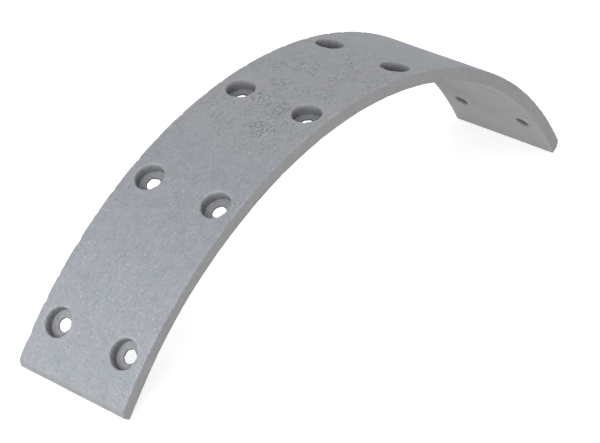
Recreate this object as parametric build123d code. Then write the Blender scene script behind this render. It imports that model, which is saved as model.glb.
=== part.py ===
from build123d import *
import os
from math import cos, degrees, radians, sin

# A moulded drum-brake lining: one arc of friction material, drilled for two rows of rivets.
# Millimetres and degrees.  The origin is the crown of the inner face at mid-width, where the
# lining beds on its shoe.  +Z runs out from the drum's axis, +X along the chord of the arc, and
# +Y along the drum's axis, which lies one inner radius below the origin.

# Driving dimensions of the strip
outer_radius = 145.0            # friction face, which runs in a 290 mm drum
thickness = 5.0                 # radial, friction face to shoe side
width = 45.0                    # along the drum's axis
arc_angle = 114.0               # end face to end face
side_bevel = 0.3                # broken edge along both sides of the friction face
end_bevel_depth = 2.5           # lead-in at each end of the friction face, measured radially
end_bevel_length = 2.2          # the same lead-in, measured back along the arc

# Driving dimensions of the rivet holes
pairs = 6                       # pairs of rivets along the arc
row_margin = 8.5                # from each side of the strip to its own row of rivets
end_margin = 18.1               # from each end to its own pair, along the friction face
end_pair_shift = 3.1            # angle that each end pair stands further out than an even pitch
rivet_diameter = 4.8            # shank of the tubular rivet
shank_clearance = 0.2           # across the hole, round the shank
head_diameter = 9.5
head_clearance = 0.5            # across the counterbore, round the head
rivet_land = 1.1                # material left under the head, on the hole's axis
exit_bevel = 0.5                # broken edge where the hole comes out on the shoe side

# Room that a cutting tool runs past a surface
overrun = 3.0

inner_radius = outer_radius - thickness
half_arc = arc_angle / 2
hole_diameter = rivet_diameter + shank_clearance
counterbore_diameter = head_diameter + head_clearance
counterbore_floor = inner_radius + rivet_land
row_offset = width / 2 - row_margin
end_pair_angle = half_arc - degrees(end_margin / outer_radius)
even_pitch = 2 * (end_pair_angle - end_pair_shift) / (pairs - 1)


def on_arc(radius, angle):
    """The point at this radius from the drum's axis and at this angle from the crown."""
    return Vector(radius * sin(radians(angle)), 0, radius * cos(radians(angle)))


def pair_angles():
    """The angle of each pair of rivets from the crown: an even pitch, but for the end pairs."""
    angles = [(place - (pairs - 1) / 2) * even_pitch for place in range(pairs)]
    angles[0] = -end_pair_angle
    angles[-1] = end_pair_angle
    return angles


def plain_strip():
    """The arc with nothing cut from it: its cross-section, turned about the drum's axis."""
    edge = width / 2
    section = Plane.YZ * make_face(
        Polyline(
            (-edge, inner_radius),
            (edge, inner_radius),
            (edge, outer_radius - side_bevel),
            (edge - side_bevel, outer_radius),
            (side_bevel - edge, outer_radius),
            (-edge, outer_radius - side_bevel),
            close=True,
        )
    )
    turned = revolve(section, axis=Axis.Y, revolution_arc=arc_angle)
    return Rot(0, -half_arc, 0) * turned


def end_bevel(side):
    """The wedge that is planed off the friction face at one end; side is -1 or 1."""
    start = on_arc(outer_radius, side * (half_arc - degrees(end_bevel_length / outer_radius)))
    finish = on_arc(outer_radius - end_bevel_depth, side * half_arc)
    along = (finish - start).normalized()
    outward = on_arc(1, side * half_arc)
    square = (outward - along * outward.dot(along)).normalized()
    first = start - along * overrun
    last = finish + along * overrun
    rise = square * (end_bevel_depth + overrun)
    corners = [first, last, last + rise, first + rise]
    outline = [(corner.X, corner.Z) for corner in corners]
    wedge = make_face(Polyline(*outline, close=True))
    # The local axes are the part's +X and +Z, so the plane faces along -Y.
    arc_plane = Plane(origin=(0, 0, 0), x_dir=(1, 0, 0), z_dir=(0, -1, 0))
    return extrude(arc_plane * wedge, amount=width / 2 + overrun, both=True)


def rivet_hole(angle, offset):
    """A stepped hole, square to the friction face at this angle and this far from mid-width."""
    upright = (Align.CENTER, Align.CENTER, Align.MIN)
    shank = Cylinder(hole_diameter / 2, thickness + 2 * overrun, align=upright)
    head_depth = outer_radius - counterbore_floor
    head = Cylinder(counterbore_diameter / 2, head_depth + overrun, align=upright)
    bevel_run = exit_bevel + overrun
    bevel = Cone(hole_diameter / 2 + bevel_run, hole_diameter / 2, bevel_run, align=upright)
    low_shank = Pos(0, offset, inner_radius - overrun) * shank
    low_bevel = Pos(0, offset, inner_radius - overrun) * bevel
    high_head = Pos(0, offset, counterbore_floor) * head
    return Rot(0, angle, 0) * (low_shank + low_bevel + high_head)


def lining():
    """The finished friction segment, with the crown of its inner face at the origin."""
    body = plain_strip()
    for side in (-1, 1):
        body -= end_bevel(side)
    for angle in pair_angles():
        for row in (-1, 1):
            body -= rivet_hole(angle, row * row_offset)
    return Pos(0, 0, -inner_radius) * body.solid()


os.makedirs("parts", exist_ok=True)
segment = lining()
segment.label = "lining"
export_step(segment, "parts/lining.step")
print("lining, its box in mm:", segment.bounding_box().size)
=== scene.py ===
from math import radians
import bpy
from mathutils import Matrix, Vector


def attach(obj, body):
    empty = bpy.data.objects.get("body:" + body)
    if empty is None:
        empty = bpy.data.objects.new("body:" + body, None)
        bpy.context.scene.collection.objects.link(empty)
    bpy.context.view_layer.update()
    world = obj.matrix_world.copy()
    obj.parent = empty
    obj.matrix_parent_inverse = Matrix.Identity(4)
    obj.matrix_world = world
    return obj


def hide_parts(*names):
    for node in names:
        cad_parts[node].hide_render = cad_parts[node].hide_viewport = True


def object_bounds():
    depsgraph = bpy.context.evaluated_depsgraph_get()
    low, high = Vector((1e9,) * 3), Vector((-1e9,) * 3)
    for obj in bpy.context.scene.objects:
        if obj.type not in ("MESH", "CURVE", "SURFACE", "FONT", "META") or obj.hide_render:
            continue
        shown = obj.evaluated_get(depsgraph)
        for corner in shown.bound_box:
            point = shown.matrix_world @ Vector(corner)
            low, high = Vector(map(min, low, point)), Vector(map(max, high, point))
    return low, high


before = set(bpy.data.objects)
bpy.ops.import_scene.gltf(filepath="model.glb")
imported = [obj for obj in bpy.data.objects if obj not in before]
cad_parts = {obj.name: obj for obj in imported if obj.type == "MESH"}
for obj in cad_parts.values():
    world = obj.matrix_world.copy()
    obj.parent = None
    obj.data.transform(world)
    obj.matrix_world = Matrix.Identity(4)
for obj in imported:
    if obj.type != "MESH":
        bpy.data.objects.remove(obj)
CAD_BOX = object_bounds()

from types import SimpleNamespace

import bpy
import numpy as np
from mathutils import Matrix

bl_info = {
    "name": "Riveted drum brake lining",
    "version": (1, 0, 0),
    "blender": (4, 5, 0),
    "location": "View3D > Sidebar > Lining",
    "description": "Models a moulded friction segment with stepped rivet holes and its stage",
    "category": "Add Mesh",
}

MM = 0.001

# Soft lamps: where each stands, what it faces, and how wide it is, in metres
LAMPS = {
    "key": ((-0.80, -0.28, 0.26), (-0.03, 0.0, -0.02), 0.30),
    "near": ((-0.27, 0.02, -0.01), (-0.115, 0.0, -0.055), 0.10),
    "far": ((0.70, 0.10, 0.45), (0.0, 0.0, 0.0), 0.30),
}

# Thickest patches of scuffs: place along the arc and across it, reach in millimetres, strength
SCUFF_PATCHES = (
    (-37.0, -6.0, 7.5, 0.90),
    (-34.0, -14.0, 4.5, 0.50),
    (-25.5, 4.0, 6.0, 0.78),
    (-26.5, -4.5, 5.5, 0.82),
    (-14.0, 3.6, 5.5, 0.52),
    (-12.0, -7.0, 4.5, 0.50),
    (-1.0, 5.0, 6.0, 0.68),
    (-2.0, -6.5, 4.0, 0.64),
    (10.5, -5.0, 6.0, 0.68),
    (7.5, -12.5, 4.0, 0.50),
    (8.0, 11.0, 4.0, 0.40),
    (-40.0, 9.5, 5.0, 0.50),
    (-43.0, -11.0, 3.5, 0.45),
)
# How far a slow noise pushes the patches about, which also moves them by half as much on average
PATCH_BEND = 9.0

# Where one kind of surface gives way to the next, in millimetres: at nought, then in full
FACE_HEIGHT = (4.80, 4.98)
LEAD_IN_DEPTH = (0.35, 0.60)
SHOE_HEIGHT = (0.30, 0.02)
BORED_REACH = (5.14, 5.03)
BORED_TOP = (4.98, 4.70)
BORED_FOOT = (0.05, 0.20)
LEDGE_OUTSIDE = (4.98, 4.90)
LEDGE_INSIDE = (2.46, 2.60)
# Heights above the shoe side over which the walls' painted shade gives way to their own grey
WALL_SHADE_HEIGHT = (2.0, 5.0)
# Places along the arc, in millimetres, over which the shoe side's ends are painted paler as painted
# light
SHOE_END_LIGHT_PLACE = (112.0, 138.0)
FLECKED_PLACE = (70.0, 130.0)
SCUFFED_FROM = (-60.0, -34.0)
SCUFFED_TO = (56.0, 26.0)

# Clouds of noise: scale, detail and roughness, then the values at nought and in full
LILAC_CLOUD = (0.17, 3.0, 0.6, 0.34, 0.66)
RUSTY_CLOUD = (0.32, 3.0, 0.65, 0.48, 0.66)
PLAIN_CLOUD = (0.045, 2.0, 0.5, 0.50, 0.66)
BROKEN_CLOUD = (0.12, 3.0, 0.70, 0.43, 0.56)
EDGE_PALENESS_CLOUD = (0.25, 2.0, 0.6, 0.40, 0.65)

# Flecks: cells to a millimetre, size, and the share of the cells that hold one
SMALL_FLECKS = (1.20, 0.26, 0.60)
LARGE_FLECKS = (0.45, 0.14, 0.34)
PITS = (0.75, 0.22, 0.40)

# Strength of the grain on each kind of surface, added up where they meet
GRAIN = {"everywhere": 0.70, "face": 0.30, "shoe": -0.25, "bored": 0.60}
# Heights of the relief in millimetres
RELIEF = {"grain": 0.060, "patches": 0.08, "small": 0.015, "pits": -0.035, "scuffs": -0.035,
          "rings": 0.018}


# ---------------------------------------------------------------- settings

def length(name, description, millimetres):
    """A length that the panel shows in the scene's own unit."""
    return bpy.props.FloatProperty(name=name, description=description, default=millimetres * MM,
                                   min=0.0, precision=5, unit="LENGTH", subtype="DISTANCE")


def angle(name, description, degrees):
    """An angle that the panel shows in the scene's own unit."""
    return bpy.props.FloatProperty(name=name, description=description, default=radians(degrees),
                                   min=0.0, max=radians(180), unit="ROTATION", subtype="ANGLE")


class LiningSizes(bpy.types.PropertyGroup):
    """Sizes of the friction segment."""

    outer_radius: length("Outer radius", "Friction face, from the drum's axis", 145.0)
    thickness: length("Thickness", "Friction face to shoe side, radially", 5.0)
    width: length("Width", "Along the drum's axis", 45.0)
    arc_angle: angle("Arc", "End face to end face", 114.0)
    side_bevel: length("Side bevel", "Broken edge along both sides of the friction face", 0.3)
    end_bevel_depth: length("End bevel depth", "Lead-in at each end, radially", 2.5)
    end_bevel_length: length("End bevel length", "Lead-in at each end, along the arc", 2.2)
    pairs: bpy.props.IntProperty(
        name="Rivet pairs", description="Pairs of stepped holes along the arc", default=6, min=2)
    row_margin: length("Row margin", "From each side to its own row of holes", 8.5)
    end_margin: length("End margin", "From each end to its own pair, along the face", 18.1)
    end_pair_shift: angle("End pair shift", "How far an end pair stands past an even pitch", 3.1)
    hole_diameter: length("Rivet hole", "Diameter of the small hole", 5.0)
    counterbore_diameter: length("Counterbore", "Diameter of the wide hole", 10.0)
    rivet_land: length("Rivet land", "Material left under the rivet's head", 1.1)
    exit_bevel: length("Exit bevel", "Broken edge of the small hole on the shoe side", 0.5)
    torn: length("Torn fibres", "How far torn fibres close the small holes, all round", 0.24)
    edge_round: length("Rim rounding", "Radius worn on to the counterbores' rims", 0.42)
    side_wander: length("Side wander", "How far the ground sides wander inwards", 0.06)
    foot_hollow: length("Foot hollow", "Depth of the long hollow along the near side's foot", 0.32)

    def plain(self):
        """The sizes as plain numbers: millimetres and radians."""
        values = {}
        for key in LiningSizes.__annotations__:
            value = getattr(self, key)
            is_length = self.bl_rna.properties[key].unit == "LENGTH"
            values[key] = value / MM if is_length else value
        return SimpleNamespace(**values)


class FrictionFinish(bpy.types.PropertyGroup):
    """Colours and strengths of the moulded friction material."""

    teal_grey: bpy.props.FloatVectorProperty(
        name="Teal grey", description="Greener share of the ground colour", subtype="COLOR",
        default=(0.309, 0.336, 0.363), min=0.0, max=1.0)
    lilac_grey: bpy.props.FloatVectorProperty(
        name="Lilac grey", description="Redder share of the ground colour", subtype="COLOR",
        default=(0.332, 0.341, 0.376), min=0.0, max=1.0)
    moulded_grey: bpy.props.FloatVectorProperty(
        name="Moulded grey", description="Greenish skin of the sides", subtype="COLOR",
        default=(0.354, 0.355, 0.352), min=0.0, max=1.0)
    rusty_grey: bpy.props.FloatVectorProperty(
        name="Rusty grey", description="Faint reddish clouds on the sides", subtype="COLOR",
        default=(0.345, 0.322, 0.325), min=0.0, max=1.0)
    shoe_grey: bpy.props.FloatVectorProperty(
        name="Shoe side grey", description="Smooth face that beds on the shoe", subtype="COLOR",
        default=(0.428, 0.434, 0.444), min=0.0, max=1.0)
    # Painted light: the shoe side is painted this paler grey towards both ends
    shoe_end_light_grey: bpy.props.FloatVectorProperty(
        name="Painted end light", description="Paler ends of the face that beds on the shoe",
        subtype="COLOR", default=(0.496, 0.494, 0.482), min=0.0, max=1.0)
    wall_grey: bpy.props.FloatVectorProperty(
        name="Bored wall", description="Walls of the stepped holes, near the face", subtype="COLOR",
        default=(0.320, 0.328, 0.342), min=0.0, max=1.0)
    # Painted shade: the holes' walls are painted this darker grey further down
    painted_shade_grey: bpy.props.FloatVectorProperty(
        name="Shaded deep wall", description="Walls painted darker further down, as shade", subtype="COLOR",
        default=(0.190, 0.195, 0.202), min=0.0, max=1.0)
    ledge_grey: bpy.props.FloatVectorProperty(
        name="Bored ledge", description="Ledge that the rivet's head pulls on", subtype="COLOR",
        default=(0.350, 0.358, 0.378), min=0.0, max=1.0)
    worked_grey: bpy.props.FloatVectorProperty(
        name="Scuffed grey", description="Warmer ground where the face has been rubbed",
        subtype="COLOR", default=(0.396, 0.396, 0.402), min=0.0, max=1.0)
    pale_fleck: bpy.props.FloatVectorProperty(
        name="Pale fleck", description="Mineral flecks", subtype="COLOR",
        default=(0.66, 0.67, 0.69), min=0.0, max=1.0)
    warm_fleck: bpy.props.FloatVectorProperty(
        name="Warm fleck", description="Pinkish flecks among the pale ones", subtype="COLOR",
        default=(0.66, 0.58, 0.57), min=0.0, max=1.0)
    dark_mark: bpy.props.FloatVectorProperty(
        name="Dark mark", description="Scuffs and pits", subtype="COLOR",
        default=(0.15, 0.155, 0.165), min=0.0, max=1.0)
    contrast: bpy.props.FloatProperty(
        name="Grain contrast", description="Strength of the fine light and dark grain",
        default=0.74, min=0.0, max=2.0)
    scuffing: bpy.props.FloatProperty(
        name="Scuffing", description="Strength of the dark strokes over the crown",
        default=0.92, min=0.0, max=1.0)
    roughness: bpy.props.FloatProperty(
        name="Roughness", description="Mean roughness of the dry surface", default=0.80,
        min=0.0, max=1.0)


class StudioSettings(bpy.types.PropertyGroup):
    """Floor, lamps and camera."""

    floor_colour: bpy.props.FloatVectorProperty(
        name="Floor", description="Colour of the floor", subtype="COLOR",
        default=(0.86, 0.86, 0.86), min=0.0, max=1.0)
    sky_strength: bpy.props.FloatProperty(
        name="Sky", description="Strength of the even light all round", default=0.64)
    key_power: bpy.props.FloatProperty(
        name="Key lamp", description="Power of the lamp beyond the near end", default=2.45,
        unit="POWER")
    near_power: bpy.props.FloatProperty(
        name="Near lamp", description="Power of the small lamp beside the near end",
        default=0.080, unit="POWER")
    far_power: bpy.props.FloatProperty(
        name="Far lamp", description="Power of the lamp beyond the far end", default=1.2,
        unit="POWER")
    camera_place: bpy.props.FloatVectorProperty(
        name="Camera", description="Where the camera stands", subtype="TRANSLATION",
        unit="LENGTH",
        default=(-0.502965, -0.394263, 0.307666))
    camera_turn: bpy.props.FloatVectorProperty(
        name="Camera turn", description="How the camera is turned, as Euler angles",
        subtype="EULER", unit="ROTATION",
        default=(radians(60.5969), radians(-1.1672), radians(-50.7943)))
    lens: bpy.props.FloatProperty(
        name="Lens", description="Focal length on a 36 mm sensor", default=127.082, unit="CAMERA")


# ---------------------------------------------------------------- arrays

def eased(distance, knee):
    """distance where it is above nought, else nought, with a rounded knee.

    Within the knee either side of nought it is the parabola that meets both straight parts."""
    near = np.clip(distance, -knee, knee)
    return np.where(distance > knee, distance, (near + knee) ** 2 / (4 * knee))


def spread(start, stop, count, crowd=0.0):
    """count + 1 numbers from start to stop; crowd, from 0 to 1, packs them towards both."""
    t = np.linspace(0.0, 1.0, count + 1)
    packed = t - crowd * np.sin(2 * np.pi * t) / (2 * np.pi)
    return start + (stop - start) * packed


def wander(along, wavelengths, seed):
    """A slow random line between nought and one.

    A sum of sines, one for each wavelength, with seeded phases, then halved and raised."""
    rng = np.random.default_rng(seed)
    total = np.zeros_like(along)
    for wavelength in wavelengths:
        phase = rng.uniform(0, 2 * np.pi)
        total += np.sin(2 * np.pi * along / wavelength + phase)
    return np.clip(0.5 + 0.5 * total / len(wavelengths) ** 0.5, 0.0, 1.0)


def chipping(along, spacing, seed):
    """Sparse small chips along an edge, nought between them.

    A finer random line, kept only where it is near its top."""
    line = wander(along, (spacing, spacing * 0.61, spacing * 0.37, spacing * 0.23), seed)
    return np.clip((line - 0.80) / 0.20, 0.0, 1.0) ** 1.5


def around(along, across):
    """The shares of the points round a rectangle, from the columns along it and across it."""
    sides, ends = len(along) - 1, len(across) - 1
    share_along = np.concatenate([along[:-1], np.full(ends, along[-1]),
                                  along[:0:-1], np.full(ends, along[0])])
    share_across = np.concatenate([np.full(sides, across[0]), across[:-1],
                                   np.full(sides, across[-1]), across[:0:-1]])
    return share_along, share_across


class Sheets:
    """Grids of points that become one closed mesh.

    A point is (angle from the crown, place across, radius from the drum's axis, distance from
    the nearest rivet's axis, closeness to a sharp edge)."""

    def __init__(self):
        self.points = []
        self.quads = []
        self.count = 0

    def add(self, grid):
        """Adds rows of points; each row is a closed ring, and rows join to the next."""
        rows, ring = grid.shape[:2]
        index = self.count + np.arange(rows * ring).reshape(rows, ring)
        ahead = np.roll(index, -1, axis=1)
        quads = np.stack([index[:-1], ahead[:-1], ahead[1:], index[1:]], axis=-1)
        self.points.append(grid.reshape(-1, grid.shape[2]))
        self.quads.append(quads.reshape(-1, 4))
        self.count += rows * ring

    def joined(self):
        """All points with the doubles merged, and the quads that use them."""
        points = np.concatenate(self.points)
        quads = np.concatenate(self.quads)
        angle, across, radius = points[:, 0], points[:, 1], points[:, 2]
        place = np.stack([radius * np.sin(angle), across, radius * np.cos(angle)], axis=1)
        keys = np.round(place * 1e4).astype(np.int64)
        _, first, back = np.unique(keys, axis=0, return_index=True, return_inverse=True)
        return points[first], back.reshape(-1)[quads]


def ring_of(stack, **values):
    """One ring of points from arrays or single numbers, in the order that Sheets wants."""
    names = ("angle", "across", "radius", "bore", "edge")
    size = max(np.size(values[name]) for name in names)
    stack.append(np.stack([np.broadcast_to(values[name], size) for name in names], axis=-1))


# ---------------------------------------------------------------- the friction segment

class Segment:
    """The friction segment's surface, worked out from its sizes."""

    # Insets of the rings that carry the two bevels, from the side and from the end
    SIDE_INSETS = (1.00, 0.40, 0.30, 0.20, 0.05)
    END_INSETS = (3.00, 2.40, 1.95, 0.95, 0.09)
    # Insets and heights above the shoe side of the rings at the shoe side's own edge
    FOOT_INSETS = (0.60, 0.13, 0.03, 0.0)
    FOOT_HEIGHTS = (0.0, 0.0, 0.03, 0.14)
    # Where the hollow along the near side's foot is deepest, and how far it reaches each way
    HOLLOW_PLACE = -104.0
    HOLLOW_REACH = 21.0
    # How far from each end the columns give way to a ring's inset, and where chips fade out
    GIVE_REACH = 10.0
    CHIP_FADE = 4.0
    # Insets of the last columns before an end and before a side, and spacing of the others
    END_COLUMNS = (3.3, 2.45, 2.15, 1.5, 0.8, 0.32, 0.0)
    SIDE_COLUMNS = (0.95, 0.42, 0.18, 0.0)
    SPACING = 1.02
    HALF_COUNT = 20
    # Rounding of the two bevels' knees, and of the upright corners
    SIDE_KNEE = 0.10
    END_KNEE = 0.20
    CORNER = 0.32
    # Distance from a rivet's axis past which the surface counts as plain
    PLAIN_REACH = 8.0

    def __init__(self, sizes):
        self.outer = sizes.outer_radius
        self.inner = sizes.outer_radius - sizes.thickness
        self.half_width = sizes.width / 2
        self.half_arc = sizes.arc_angle / 2
        self.half_length = self.half_arc * self.outer
        self.sizes = sizes
        end_pair = self.half_arc - sizes.end_margin / self.outer
        pitch = 2 * (end_pair - sizes.end_pair_shift) / (sizes.pairs - 1)
        self.pair_angles = (np.arange(sizes.pairs) - (sizes.pairs - 1) / 2) * pitch
        self.pair_angles[[0, -1]] = -end_pair, end_pair
        self.row_offset = self.half_width - sizes.row_margin
        self.columns, self.cuts = self.columns_along()
        self.rows_across = self.columns_across()

    def columns_along(self):
        """Shares of the half arc where the columns stand, and which of them part the pairs."""
        near_end = 1 - np.array(self.END_COLUMNS) / self.half_length
        middles = (self.pair_angles[1:] + self.pair_angles[:-1]) / 2 / self.half_arc
        limits = np.concatenate([[-near_end[0]], middles, [near_end[0]]])
        columns = [-near_end[::-1][:-1]]
        cuts = [0]
        total = len(near_end) - 1
        for low, high in zip(limits[:-1], limits[1:]):
            count = int(round((high - low) * self.half_length / self.SPACING))
            columns.append(spread(low, high, count)[:-1])
            total += count
            cuts.append(total)
        columns.append(near_end)
        cuts[-1] = total + len(near_end) - 1
        return np.concatenate(columns), cuts

    def columns_across(self):
        """Shares of the half width where the grid's columns stand along an end."""
        edge = 1 - np.array(self.SIDE_COLUMNS) / self.half_width
        half = np.concatenate([spread(0.0, edge[0], self.HALF_COUNT)[:-1], edge])
        return np.concatenate([-half[:0:-1], half])

    def cut_depth(self, from_side, from_end):
        """How far the bevels lower the friction face, at these distances from side and end.

        The deeper of two ramps, one in one at the side and the end's own slope at the end,
        joined softly: the fourth root of the sum of their fourth powers."""
        sizes = self.sizes
        slope = sizes.end_bevel_depth / sizes.end_bevel_length
        side = eased(sizes.side_bevel - from_side, self.SIDE_KNEE)
        end = slope * eased(sizes.end_bevel_length - from_end, self.END_KNEE)
        return (side ** 4 + end ** 4) ** 0.25

    def place_along(self, share, inset):
        """Places along the arc at these shares of the half length, on a ring set in that far.

        Only the columns of the last stretch move in, in step with their nearness to the end, so
        the others stand square across the strip."""
        bare = np.abs(share) * self.half_length
        give = np.clip(1 - (self.half_length - bare) / self.GIVE_REACH, 0, 1)
        return np.sign(share) * (bare - inset * give)

    def border_rings(self):
        """Rings from the shoe side, out and up round the rim, and in over the friction face.

        Each ring is a rectangle on the unrolled strip, set in from the rim, and its height
        follows from the bevels."""
        sizes, stack = self.sizes, []
        share_along, share_across = around(self.columns, self.rows_across)

        def ring(side_inset, end_inset, height=None, share=None):
            half = self.half_width - side_inset
            place = self.place_along(share_along, end_inset)
            side = share_across * half
            top = sizes.thickness - self.cut_depth(
                self.half_width - np.abs(side), self.half_length - np.abs(place))
            if height is None:
                foot = self.FOOT_HEIGHTS[-1]
                height = top if share is None else foot + (top - 0.06 - foot) * share
            inset = np.minimum(self.half_width - np.abs(side), self.half_length - np.abs(place))
            rim = np.hypot(inset, np.minimum(np.abs(top - height), height))
            ring_of(stack, angle=place / self.outer, across=side, radius=self.inner + height,
                    bore=self.PLAIN_REACH, edge=np.clip(1 - rim / 1.2, 0, 1))

        for inset, height in zip(self.FOOT_INSETS, self.FOOT_HEIGHTS):
            ring(inset, inset, height=height)
        for share in (0.28, 0.62, 0.88, 1.0):
            ring(0.0, 0.0, share=share)
        for side_inset, end_inset in zip(self.SIDE_INSETS[::-1], self.END_INSETS[::-1]):
            ring(side_inset, end_inset)
        return np.stack(stack)

    def hole_sheet(self, pair, row):
        """One rivet's share of the strip, from the rim of its patch to its hole and back below.

        Rays from the rivet's axis join the patch's outline to the counterbore's rim. The sheet
        goes down the counterbore, over the flat ledge, down the small hole and out again over
        the shoe side to the same outline."""
        sizes, stack = self.sizes, []
        centre, offset = self.pair_angles[pair], row * self.row_offset
        along = self.columns[self.cuts[pair]:self.cuts[pair + 1] + 1]
        middle = len(self.rows_across) // 2
        across = self.rows_across[:middle + 1] if row < 0 else self.rows_across[middle:]
        share_along, share_across = around(along, across)

        def outline(side_inset, end_inset):
            """The patch's outline, from the rivet's axis, on the unrolled friction face."""
            place = self.place_along(share_along, end_inset) - centre * self.outer
            side = share_across * (self.half_width - side_inset) - offset
            return place, side

        top_place, top_side = outline(self.SIDE_INSETS[0], self.END_INSETS[0])
        foot_place, foot_side = outline(self.FOOT_INSETS[0], self.FOOT_INSETS[0])
        turn = np.arctan2(top_side, top_place)
        ray = np.stack([np.cos(turn), np.sin(turn)])
        wide = sizes.counterbore_diameter / 2
        ledge = self.inner + sizes.rivet_land
        seed = 10 * pair + (row + 1)
        bored = sizes.hole_diameter / 2
        fibres = wander(turn * bored, (5.2, 2.6, 1.57), 500 + seed)
        narrow = bored - sizes.torn * (0.35 + 0.65 * fibres)
        rim = sizes.edge_round * (0.7 + 0.8 * wander(turn * wide, (9.0, 4.7, 2.9), 200 + seed))
        rim = rim + 0.35 * chipping(turn * wide, 6.0, 300 + seed)

        def on_face(reach, place, side, radius, share, edge):
            """A ring part of the way from a circle of that reach to an outline."""
            x = ray[0] * reach * (1 - share) + place * share
            y = ray[1] * reach * (1 - share) + side * share
            ring_of(stack, angle=centre + x / self.outer, across=offset + y, radius=radius,
                    bore=np.minimum(np.hypot(x, y), self.PLAIN_REACH), edge=edge)

        def in_hole(reach, height, edge):
            """A ring of that reach at a height along the rivet's axis."""
            x, y = ray[0] * reach, ray[1] * reach
            ring_of(stack, angle=centre + np.arctan2(x, height), across=offset + y,
                    radius=np.hypot(x, height), bore=np.hypot(x, y), edge=edge)

        for share in spread(1.0, 0.0, 15, 0.45)[:-1]:
            on_face(wide + rim + 0.35, top_place, top_side, self.outer, share, 0.0)
        on_face(wide + rim + 0.30, top_place, top_side, self.outer, 0.0, 0.3)
        on_face(wide + rim, top_place, top_side, self.outer, 0.0, 0.8)
        lip = np.sqrt(self.outer ** 2 - (ray[0] * wide) ** 2)
        in_hole(wide + 0.30 * rim, lip - 0.30 * rim, 1.0)
        in_hole(wide, lip - rim, 0.8)
        for share in (0.25, 0.6, 0.9):
            in_hole(wide, lip - rim + (ledge + 0.12 - lip + rim) * share, 0.3 * (share < 0.5))
        in_hole(wide - 0.03, ledge + 0.03, 0.0)
        for share in (0.08, 0.35, 0.65, 0.9):
            in_hole(wide + (bored + 0.15 - wide) * share, ledge, 0.0)
        in_hole(narrow + 0.09, ledge, 0.5)
        in_hole(narrow + 0.025, ledge - 0.025, 1.0)
        in_hole(narrow, ledge - 0.09, 0.6)
        ragged = wander(turn * narrow, (6.0, 3.1, 1.9), 400 + seed)
        flare = sizes.exit_bevel * (1.0 + 0.25 * ragged)
        mouth = bored + flare
        foot = np.sqrt(self.inner ** 2 - (ray[0] * mouth) ** 2)
        in_hole(narrow, foot + flare + 0.05, 0.2)
        in_hole(narrow + 0.05, foot + flare - 0.05, 0.2)
        in_hole(mouth - 0.08, foot + 0.08, 0.6)
        scale = self.outer / self.inner
        for share in spread(0.0, 1.0, 9, 0.35):
            x = ray[0] * (mouth + 0.05) * (1 - share) * scale + foot_place * share
            y = ray[1] * (mouth + 0.05) * (1 - share) + foot_side * share
            ring_of(stack, angle=centre + x / self.outer, across=offset + y, radius=self.inner,
                    bore=np.minimum(np.hypot(x, y), self.PLAIN_REACH),
                    edge=0.6 * (share == 0))
        return np.stack(stack)

    def worn(self, points):
        """The points with round corners, wandering sides and small chips along the edges.

        Every change goes into the material, so nothing stands outside the plain strip."""
        sizes = self.sizes
        place = points[:, 0] * self.outer
        side = points[:, 1]
        height = points[:, 2] - self.inner
        sign, end_sign = np.sign(side), np.sign(place)
        from_side = self.half_width - np.abs(side)
        from_end = self.half_length - np.abs(place)
        # upright corners, rounded by a quarter circle
        corner = self.CORNER
        reach = np.hypot(corner - from_side, corner - from_end)
        inside = (from_side < corner) & (from_end < corner) & (reach > corner)
        pull = np.where(inside, corner / np.maximum(reach, 1e-9), 1.0)
        from_side = np.where(inside, corner - (corner - from_side) * pull, from_side)
        from_end = np.where(inside, corner - (corner - from_end) * pull, from_end)
        # sides that wander, fading out over the first millimetres of the faces
        near = np.clip(1 - from_side / 3.0, 0, 1) ** 2
        slow = np.where(sign < 0, wander(place, (61.0, 37.0, 23.0), 11),
                        0.35 * wander(place, (87.0, 53.0, 31.0), 12))
        fine = np.where(sign < 0, wander(place, (7.3, 4.1, 2.6), 13),
                        wander(place, (6.9, 4.4, 2.3), 14))
        from_side = from_side + near * (sizes.side_wander * slow + 0.04 * fine)
        hollow = np.exp(-((place - self.HOLLOW_PLACE) / self.HOLLOW_REACH) ** 2)
        taper = np.where(sign < 0, 1 - height / sizes.thickness, 0.0)
        from_side = from_side + near * sizes.foot_hollow * hollow * taper
        near_end = np.clip(1 - from_end / 2.5, 0, 1) ** 2
        from_end = from_end + near_end * 0.06 * wander(side, (19.0, 11.0, 5.3), 15)
        # chips along the edge between the bevel and the side, and along the foot
        close = np.clip(1 - from_side / 0.9, 0, 1)
        top = sizes.thickness - self.cut_depth(from_side, from_end)
        high = np.clip(1 - np.abs(top - height) / 0.9, 0, 1) * close
        low = np.clip(1 - height / 0.6, 0, 1) * close
        top_chip = np.where(sign < 0, chipping(place, 7.0, 21), chipping(place, 11.0, 22))
        top_chip = top_chip * np.clip(from_end / self.CHIP_FADE - 1, 0, 1)
        low_chip = np.where(sign < 0, chipping(place, 19.0, 23), chipping(place, 15.0, 24))
        from_side = from_side + 0.28 * top_chip * high + 0.08 * low_chip * low
        height = height - 0.24 * top_chip * high + 0.08 * low_chip * low
        worn = points.copy()
        worn[:, 0] = end_sign * (self.half_length - from_end) / self.outer
        worn[:, 1] = sign * (self.half_width - from_side)
        worn[:, 2] = self.inner + height
        return worn

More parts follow.
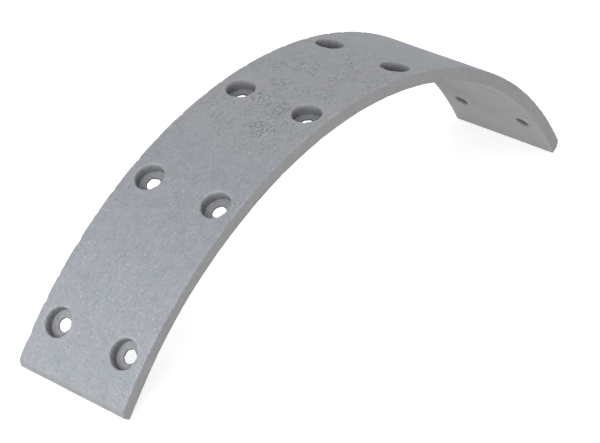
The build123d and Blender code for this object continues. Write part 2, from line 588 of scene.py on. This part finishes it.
    def mesh(self, name):
        """The whole closed surface as one mesh, with the patterns' own coordinates on it."""
        sheets = Sheets()
        sheets.add(self.border_rings())
        for pair in range(self.sizes.pairs):
            for row in (-1, 1):
                sheets.add(self.hole_sheet(pair, row))
        points, quads = sheets.joined()
        lowered = self.cut_depth(self.half_width - np.abs(points[:, 1]),
                                 self.half_length - np.abs(points[:, 0]) * self.outer)
        points = self.worn(points)
        angle, across, radius = points[:, 0], points[:, 1], points[:, 2]
        place = np.stack([radius * np.sin(angle), across,
                          radius * np.cos(angle) - self.inner], axis=1) * MM
        mesh = bpy.data.meshes.new(name)
        mesh.from_pydata(place, [], quads)
        mesh.polygons.foreach_set("use_smooth", np.ones(len(quads), bool))
        strip = np.stack([angle * self.outer, across, radius - self.inner], axis=1)
        layer = mesh.attributes.new("strip", "FLOAT_VECTOR", "POINT")
        layer.data.foreach_set("vector", strip.astype(np.float32).ravel())
        for label, values in (("bore", points[:, 3]), ("edge", points[:, 4]), ("lowered", lowered)):
            layer = mesh.attributes.new(label, "FLOAT", "POINT")
            layer.data.foreach_set("value", values.astype(np.float32))
        mesh.update()
        return mesh


# ---------------------------------------------------------------- materials

class Wiring:
    """Short ways to add shader nodes and join them."""

    def __init__(self, material):
        material.use_nodes = True
        self.tree = material.node_tree
        self.tree.nodes.clear()

    def node(self, kind, settings=None, **inputs):
        made = self.tree.nodes.new(kind)
        for key, value in (settings or {}).items():
            setattr(made, key, value)
        for key, value in inputs.items():
            self.feed(made.inputs[key.replace("_", " ")], value)
        return made

    def feed(self, socket, value):
        if isinstance(value, bpy.types.NodeSocket):
            self.tree.links.new(value, socket)
        else:
            socket.default_value = value

    def math(self, operation, *values, clamp=False):
        made = self.tree.nodes.new("ShaderNodeMath")
        made.operation = operation
        made.use_clamp = clamp
        for socket, value in zip(made.inputs, values):
            self.feed(socket, value)
        return made.outputs[0]

    def ramp(self, value, low, high):
        """value brought from low..high to 0..1, smoothly."""
        made = self.node("ShaderNodeMapRange", {"interpolation_type": "SMOOTHSTEP"},
                         Value=value, From_Min=low, From_Max=high)
        return made.outputs[0]

    def attribute(self, name, vector=False):
        made = self.node("ShaderNodeAttribute", {"attribute_name": name})
        return made.outputs["Vector" if vector else "Fac"]

    def stretched(self, vector, scale, turn=0.0):
        made = self.node("ShaderNodeMapping", Vector=vector)
        made.inputs["Scale"].default_value = scale
        made.inputs["Rotation"].default_value = (0.0, 0.0, turn)
        return made.outputs[0]

    def noise(self, vector, scale, detail=2.0, roughness=0.5):
        made = self.node("ShaderNodeTexNoise", Vector=vector, Scale=scale, Detail=detail,
                         Roughness=roughness)
        return made.outputs[0]

    def cloud(self, vector, scale, detail, roughness, low, high):
        """Noise brought to nought at its low value and one at its high value."""
        return self.ramp(self.noise(vector, scale, detail, roughness), low, high)

    def times(self, first, second):
        return self.math("MULTIPLY", first, second)

    def bent(self, vector, scale, amount):
        """The vector pushed about by a slow noise, so that straight strokes waver."""
        push = self.node("ShaderNodeTexNoise", Vector=vector, Scale=scale, Detail=1.0)
        made = self.node("ShaderNodeVectorMath", {"operation": "MULTIPLY_ADD"})
        self.feed(made.inputs[0], push.outputs["Color"])
        made.inputs[1].default_value = (amount, amount, 0.0)
        self.feed(made.inputs[2], vector)
        return made.outputs[0]

    def flecks(self, vector, scale, size, chance):
        """Ragged flecks of unlike sizes in a share of the cells of a random net.

        Gives the flecks and each cell's own random number."""
        made = self.node("ShaderNodeTexVoronoi", Scale=scale,
                         Vector=self.bent(vector, 2.6 * scale, 0.55 / scale))
        own = self.node("ShaderNodeSeparateColor", Color=made.outputs["Color"])
        reach = self.math("MULTIPLY_ADD", own.outputs[2], size, size * 0.45)
        near = self.ramp(self.math("DIVIDE", made.outputs["Distance"], reach), 1.0, 0.55)
        kept = self.math("LESS_THAN", own.outputs[0], chance)
        return self.math("MULTIPLY", near, kept), own.outputs[1]

    def near(self, vector, centre, reach):
        """One at a centre, falling to nought at a distance of reach from it."""
        made = self.node("ShaderNodeVectorMath", {"operation": "DISTANCE"})
        self.feed(made.inputs[0], vector)
        made.inputs[1].default_value = centre
        return self.ramp(made.outputs["Value"], reach, 0.55 * reach)

    def mix(self, share, first, second, blend="MIX"):
        made = self.tree.nodes.new("ShaderNodeMix")
        made.data_type = "RGBA"
        made.blend_type = blend
        self.feed(made.inputs[0], share)
        self.feed(made.inputs[6], first)
        self.feed(made.inputs[7], second)
        return made.outputs[2]


def opaque(colour):
    return (*colour, 1.0)


def friction_material(finish):
    """Moulded friction material: mottled, grainy and flecked, scuffed over the crown, and bored."""
    material = bpy.data.materials.new("friction_material")
    w = Wiring(material)
    strip = w.attribute("strip", vector=True)
    bore = w.attribute("bore")
    edge = w.attribute("edge")
    along, across, height = w.node("ShaderNodeSeparateXYZ", Vector=strip).outputs

    # where each kind of surface is
    lowered = w.attribute("lowered")
    face = w.ramp(w.math("ADD", height, lowered), *FACE_HEIGHT)
    lead_in = w.times(w.ramp(lowered, *LEAD_IN_DEPTH), face)
    shoe = w.ramp(height, *SHOE_HEIGHT)
    bored = w.times(w.ramp(bore, *BORED_REACH),
                    w.times(w.ramp(height, *BORED_TOP), w.ramp(height, *BORED_FOOT)))
    ledge = w.times(w.ramp(bore, *LEDGE_OUTSIDE), w.ramp(bore, *LEDGE_INSIDE))

    # ground colour: clouds of teal and lilac grey on the worked face, plainer skins elsewhere
    ground = w.mix(w.cloud(strip, *LILAC_CLOUD), opaque(finish.teal_grey),
                   opaque(finish.lilac_grey))
    skin = w.mix(w.times(w.noise(strip, 0.11, 3.0, 0.6), 0.45),
                 opaque(finish.moulded_grey), ground)
    skin = w.mix(w.times(w.cloud(strip, *RUSTY_CLOUD), 0.45),
                 skin, opaque(finish.rusty_grey))
    smooth = w.mix(w.times(w.cloud(strip, *PLAIN_CLOUD), 0.60),
                   opaque(finish.shoe_grey), opaque(finish.moulded_grey))
    # painted light: the shoe side painted paler towards both ends of the arc
    shoe_end_light = w.times(w.ramp(w.math("ABSOLUTE", along), *SHOE_END_LIGHT_PLACE), 0.80)
    smooth = w.mix(shoe_end_light, smooth, opaque(finish.shoe_end_light_grey))
    colour = w.mix(face, w.mix(shoe, skin, smooth), ground)
    colour = w.mix(w.times(lead_in, 0.40), colour, opaque(finish.moulded_grey))
    # painted shade in the holes: the walls go from their own grey near the face to a darker painted
    # shade further down, with a ragged edge
    ragged_height = w.math("MULTIPLY_ADD", w.math("SUBTRACT", w.noise(strip, 0.55, 3.0, 0.7), 0.5),
                           2.4, height)
    wall = w.mix(w.ramp(ragged_height, *WALL_SHADE_HEIGHT), opaque(finish.painted_shade_grey),
                 opaque(finish.wall_grey))
    cut = w.mix(ledge, wall, opaque(finish.ledge_grey))
    colour = w.mix(bored, colour, cut)

    # light and dark grain, weaker on the sides and the shoe side
    patches = w.noise(strip, 0.30, 3.0, 0.6)
    grain = w.noise(strip, 1.15, 4.0, 0.75)
    tone = w.math("MULTIPLY_ADD", w.math("SUBTRACT", patches, 0.5), 0.26, 1.0)
    strength = w.math("MULTIPLY_ADD", face, GRAIN["face"] * finish.contrast,
                      GRAIN["everywhere"] * finish.contrast)
    strength = w.math("MULTIPLY_ADD", shoe, GRAIN["shoe"] * finish.contrast, strength)
    strength = w.math("MULTIPLY_ADD", bored, GRAIN["bored"] * finish.contrast, strength)
    tone = w.math("MULTIPLY_ADD", w.math("SUBTRACT", grain, 0.5), strength, tone)
    turned = w.math("MULTIPLY_ADD", w.math("ADD", bore, height), 15.0,
                    w.times(w.noise(strip, 0.5, 1.0), 9.0))
    rings = w.math("SINE", turned)
    tone = w.math("MULTIPLY_ADD", lead_in, -0.09, tone)
    tone = w.math("MULTIPLY_ADD", w.times(rings, bored), 0.05, tone)
    grey = w.node("ShaderNodeCombineColor", Red=tone, Green=tone, Blue=tone).outputs[0]
    colour = w.mix(1.0, colour, grey, "MULTIPLY")

    # flecks: many small pale ones in drifts, a few larger, and dark pits
    small, own = w.flecks(strip, *SMALL_FLECKS)
    large, large_own = w.flecks(strip, *LARGE_FLECKS)
    pits, _ = w.flecks(strip, *PITS)
    towards_end = w.times(w.ramp(w.math("ABSOLUTE", along), *FLECKED_PLACE), 0.14)
    drift = w.ramp(w.math("ADD", w.noise(strip, 0.12, 3.0, 0.6), towards_end), 0.38, 0.66)
    visible = w.math("MULTIPLY_ADD", face, 0.35, 0.65)
    visible = w.math("MULTIPLY_ADD", shoe, -0.35, visible)
    small = w.times(small, w.times(w.math("MULTIPLY_ADD", drift, 0.90, 0.20), visible))
    large = w.times(large, visible)
    fleck = w.mix(w.ramp(large_own, 0.45, 0.65), opaque(finish.pale_fleck),
                  opaque(finish.warm_fleck))
    colour = w.mix(w.times(small, w.math("MULTIPLY_ADD", own, 0.45, 0.12)),
                   colour, opaque(finish.pale_fleck))
    colour = w.mix(w.times(large, w.math("MULTIPLY_ADD", large_own, 0.42, 0.12)),
                   colour, fleck)
    colour = w.mix(w.times(w.times(pits, visible), 0.38), colour,
                   opaque(finish.dark_mark))

    # scuffs: short wavering strokes and nicks, in broken drifts over the crown
    reach = w.times(w.times(w.ramp(along, *SCUFFED_FROM), w.ramp(along, *SCUFFED_TO)), face)
    broken = w.times(w.cloud(strip, *BROKEN_CLOUD), 0.48)
    ragged = w.bent(strip, 0.35, PATCH_BEND)
    shift = PATCH_BEND / 2
    for patch_along, patch_across, patch_reach, strength in SCUFF_PATCHES:
        patch = w.near(ragged, (patch_along + shift, patch_across + shift, 5.0), patch_reach)
        broken = w.math("MAXIMUM", broken, w.times(patch, strength))
    bent = w.bent(strip, 0.60, 1.6)
    strokes = w.noise(w.stretched(bent, (0.72, 1.90, 0.5), radians(58)), 1.0, 2.5, 0.62)
    nicks = w.noise(w.stretched(bent, (1.35, 2.25, 0.5), radians(25)), 1.0, 1.0, 0.5)
    lines = w.math("MAXIMUM", w.ramp(strokes, 0.545, 0.62), w.ramp(nicks, 0.59, 0.66))
    # pale partners of the strokes, used only as a painted highlight
    raised = w.math("MAXIMUM", w.ramp(strokes, 0.42, 0.33), w.ramp(nicks, 0.38, 0.30))
    worked = w.times(reach, broken)
    scuffs = w.times(worked, lines)
    colour = w.mix(w.times(reach, 0.45), colour, opaque(finish.worked_grey))
    colour = w.mix(w.times(scuffs, finish.scuffing), colour, opaque(finish.dark_mark))
    # painted highlight: pale strokes beside the dark ones, as though their relief caught the light
    colour = w.mix(w.times(w.times(worked, raised), 0.30), colour,
                   opaque(finish.pale_fleck))

    # sharp edges of the friction face painted paler, partly rubbed wear and partly a painted
    # highlight, more in some stretches than in others
    rubbed = w.times(edge, w.math("MULTIPLY_ADD", w.cloud(strip, *EDGE_PALENESS_CLOUD), 0.16, 0.03))
    colour = w.mix(w.times(rubbed, face), colour, opaque(finish.pale_fleck))

    roughness = w.math("MULTIPLY_ADD", w.math("SUBTRACT", grain, 0.5), 0.30, finish.roughness)
    roughness = w.math("MULTIPLY_ADD", small, -0.20, roughness, clamp=True)

    # relief: grain, flecks that stand proud, pits, scuffs, and rings left by the boring tool
    relief = w.math("MULTIPLY_ADD", grain, RELIEF["grain"], w.times(patches, RELIEF["patches"]))
    relief = w.times(relief, w.math("MULTIPLY_ADD", shoe, -0.55, 0.95))
    relief = w.math("MULTIPLY_ADD", small, RELIEF["small"], relief)
    relief = w.math("MULTIPLY_ADD", pits, RELIEF["pits"], relief)
    relief = w.math("MULTIPLY_ADD", scuffs, RELIEF["scuffs"], relief)
    relief = w.math("MULTIPLY_ADD", w.times(rings, bored), RELIEF["rings"], relief)
    bump = w.node("ShaderNodeBump", Height=relief, Strength=1.0, Distance=MM)

    shader = w.node("ShaderNodeBsdfPrincipled", Base_Color=colour, Roughness=roughness,
                    Normal=bump.outputs[0], Specular_IOR_Level=0.35)
    output = w.node("ShaderNodeOutputMaterial")
    w.tree.links.new(shader.outputs[0], output.inputs[0])
    return material


def floor_material(colour):
    """A matt floor that the camera sees nearly white, and that keeps the object's shadow."""
    material = bpy.data.materials.new("stage_floor")
    w = Wiring(material)
    seen = w.node("ShaderNodeLightPath")
    matt = w.node("ShaderNodeBsdfDiffuse", Color=opaque(colour))
    glow = w.node("ShaderNodeEmission", Color=opaque((1.0, 1.0, 1.0)))
    rays = w.math("MAXIMUM", seen.outputs["Is Camera Ray"], seen.outputs["Is Glossy Ray"])
    w.feed(glow.inputs["Strength"], w.times(rays, 0.57))
    both = w.tree.nodes.new("ShaderNodeAddShader")
    w.tree.links.new(matt.outputs[0], both.inputs[0])
    w.tree.links.new(glow.outputs[0], both.inputs[1])
    output = w.node("ShaderNodeOutputMaterial")
    w.tree.links.new(both.outputs[0], output.inputs[0])
    return material


# ---------------------------------------------------------------- operators

class LINING_OT_segment(bpy.types.Operator):
    """Build the friction segment in place of the plain CAD strip"""

    bl_idname = "lining.segment"
    bl_label = "Friction segment"

    def execute(self, context):
        sizes = context.scene.lining_sizes.plain()
        mesh = Segment(sizes).mesh("friction_segment")
        segment = bpy.data.objects.new("friction_segment", mesh)
        context.scene.collection.objects.link(segment)
        mesh.materials.append(friction_material(context.scene.lining_finish))
        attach(segment, "root")
        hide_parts("lining")
        return {"FINISHED"}


class LINING_OT_stage(bpy.types.Operator):
    """Lay the floor, hang the lamps and set up the camera"""

    bl_idname = "lining.stage"
    bl_label = "Floor, lamps and camera"

    def execute(self, context):
        studio = context.scene.lining_studio
        low = CAD_BOX[0]
        self.floor(context, studio, low[2])
        self.sky(context, studio)
        self.lamps(context, studio)
        self.camera(context, studio)
        context.scene.view_settings.view_transform = "Standard"
        return {"FINISHED"}

    def floor(self, context, studio, level):
        reach = 6.0
        corners = [(-reach, -reach, level), (reach, -reach, level),
                   (reach, reach, level), (-reach, reach, level)]
        mesh = bpy.data.meshes.new("stage_floor")
        mesh.from_pydata(corners, [], [(0, 1, 2, 3)])
        mesh.materials.append(floor_material(studio.floor_colour))
        floor = bpy.data.objects.new("stage_floor", mesh)
        context.scene.collection.objects.link(floor)

    def sky(self, context, studio):
        world = bpy.data.worlds.new("stage_sky")
        context.scene.world = world
        w = Wiring(world)
        path = w.node("ShaderNodeLightPath")
        seen = w.math("MAXIMUM", path.outputs["Is Camera Ray"], path.outputs["Is Glossy Ray"])
        strength = w.math("MULTIPLY_ADD", seen, 1.0 - studio.sky_strength, studio.sky_strength)
        light = w.node("ShaderNodeBackground", Color=opaque((1.0, 1.0, 1.0)), Strength=strength)
        output = w.node("ShaderNodeOutputWorld")
        w.tree.links.new(light.outputs[0], output.inputs[0])

    def lamps(self, context, studio):
        """Hangs the soft lamps; each is a square that faces its aim."""
        for name, (place, aim, size) in LAMPS.items():
            data = bpy.data.lights.new(name + "_lamp", "AREA")
            data.shape = "SQUARE"
            data.size = size
            data.energy = getattr(studio, name + "_power")
            lamp = bpy.data.objects.new(name + "_lamp", data)
            self.point_at(lamp, np.array(place), np.array(aim))
            context.scene.collection.objects.link(lamp)

    def point_at(self, lamp, place, aim):
        """Stands a lamp at a place with its beam, its own -Z, towards the aim."""
        back = (place - aim) / np.linalg.norm(place - aim)
        right = np.cross([0.0, 0.0, 1.0], back)
        right /= np.linalg.norm(right)
        up = np.cross(back, right)
        turned = np.eye(4)
        turned[:3, 0], turned[:3, 1], turned[:3, 2], turned[:3, 3] = right, up, back, place
        lamp.matrix_world = Matrix(turned)

    def camera(self, context, studio):
        data = bpy.data.cameras.new("camera")
        data.sensor_fit = "HORIZONTAL"
        data.sensor_width = 36.0
        data.lens = studio.lens
        data.clip_start = 0.01
        data.clip_end = 50.0
        camera = bpy.data.objects.new("camera", data)
        camera.location = studio.camera_place
        camera.rotation_euler = studio.camera_turn
        context.scene.collection.objects.link(camera)
        context.scene.camera = camera


class LINING_PT_panel(bpy.types.Panel):
    """Lists the lining's pieces and its sizes"""

    bl_idname = "LINING_PT_panel"
    bl_label = "Brake lining"
    bl_space_type = "VIEW_3D"
    bl_region_type = "UI"
    bl_category = "Lining"

    def draw(self, context):
        layout = self.layout
        for operator in OPERATORS:
            layout.operator(operator.bl_idname)
        for group, label in GROUPS:
            owner = getattr(context.scene, label)
            column = layout.box().column()
            for key in group.__annotations__:
                column.prop(owner, key)


OPERATORS = (LINING_OT_segment, LINING_OT_stage)
GROUPS = ((LiningSizes, "lining_sizes"), (FrictionFinish, "lining_finish"),
          (StudioSettings, "lining_studio"))
CLASSES = tuple(group for group, _ in GROUPS) + OPERATORS + (LINING_PT_panel,)


def register():
    for made in CLASSES:
        bpy.utils.register_class(made)
    for group, label in GROUPS:
        setattr(bpy.types.Scene, label, bpy.props.PointerProperty(type=group))


def unregister():
    for _, label in GROUPS:
        delattr(bpy.types.Scene, label)
    for made in reversed(CLASSES):
        bpy.utils.unregister_class(made)


def main():
    register()
    bpy.ops.lining.segment()
    bpy.ops.lining.stage()


if __name__ == "__main__":
    main()
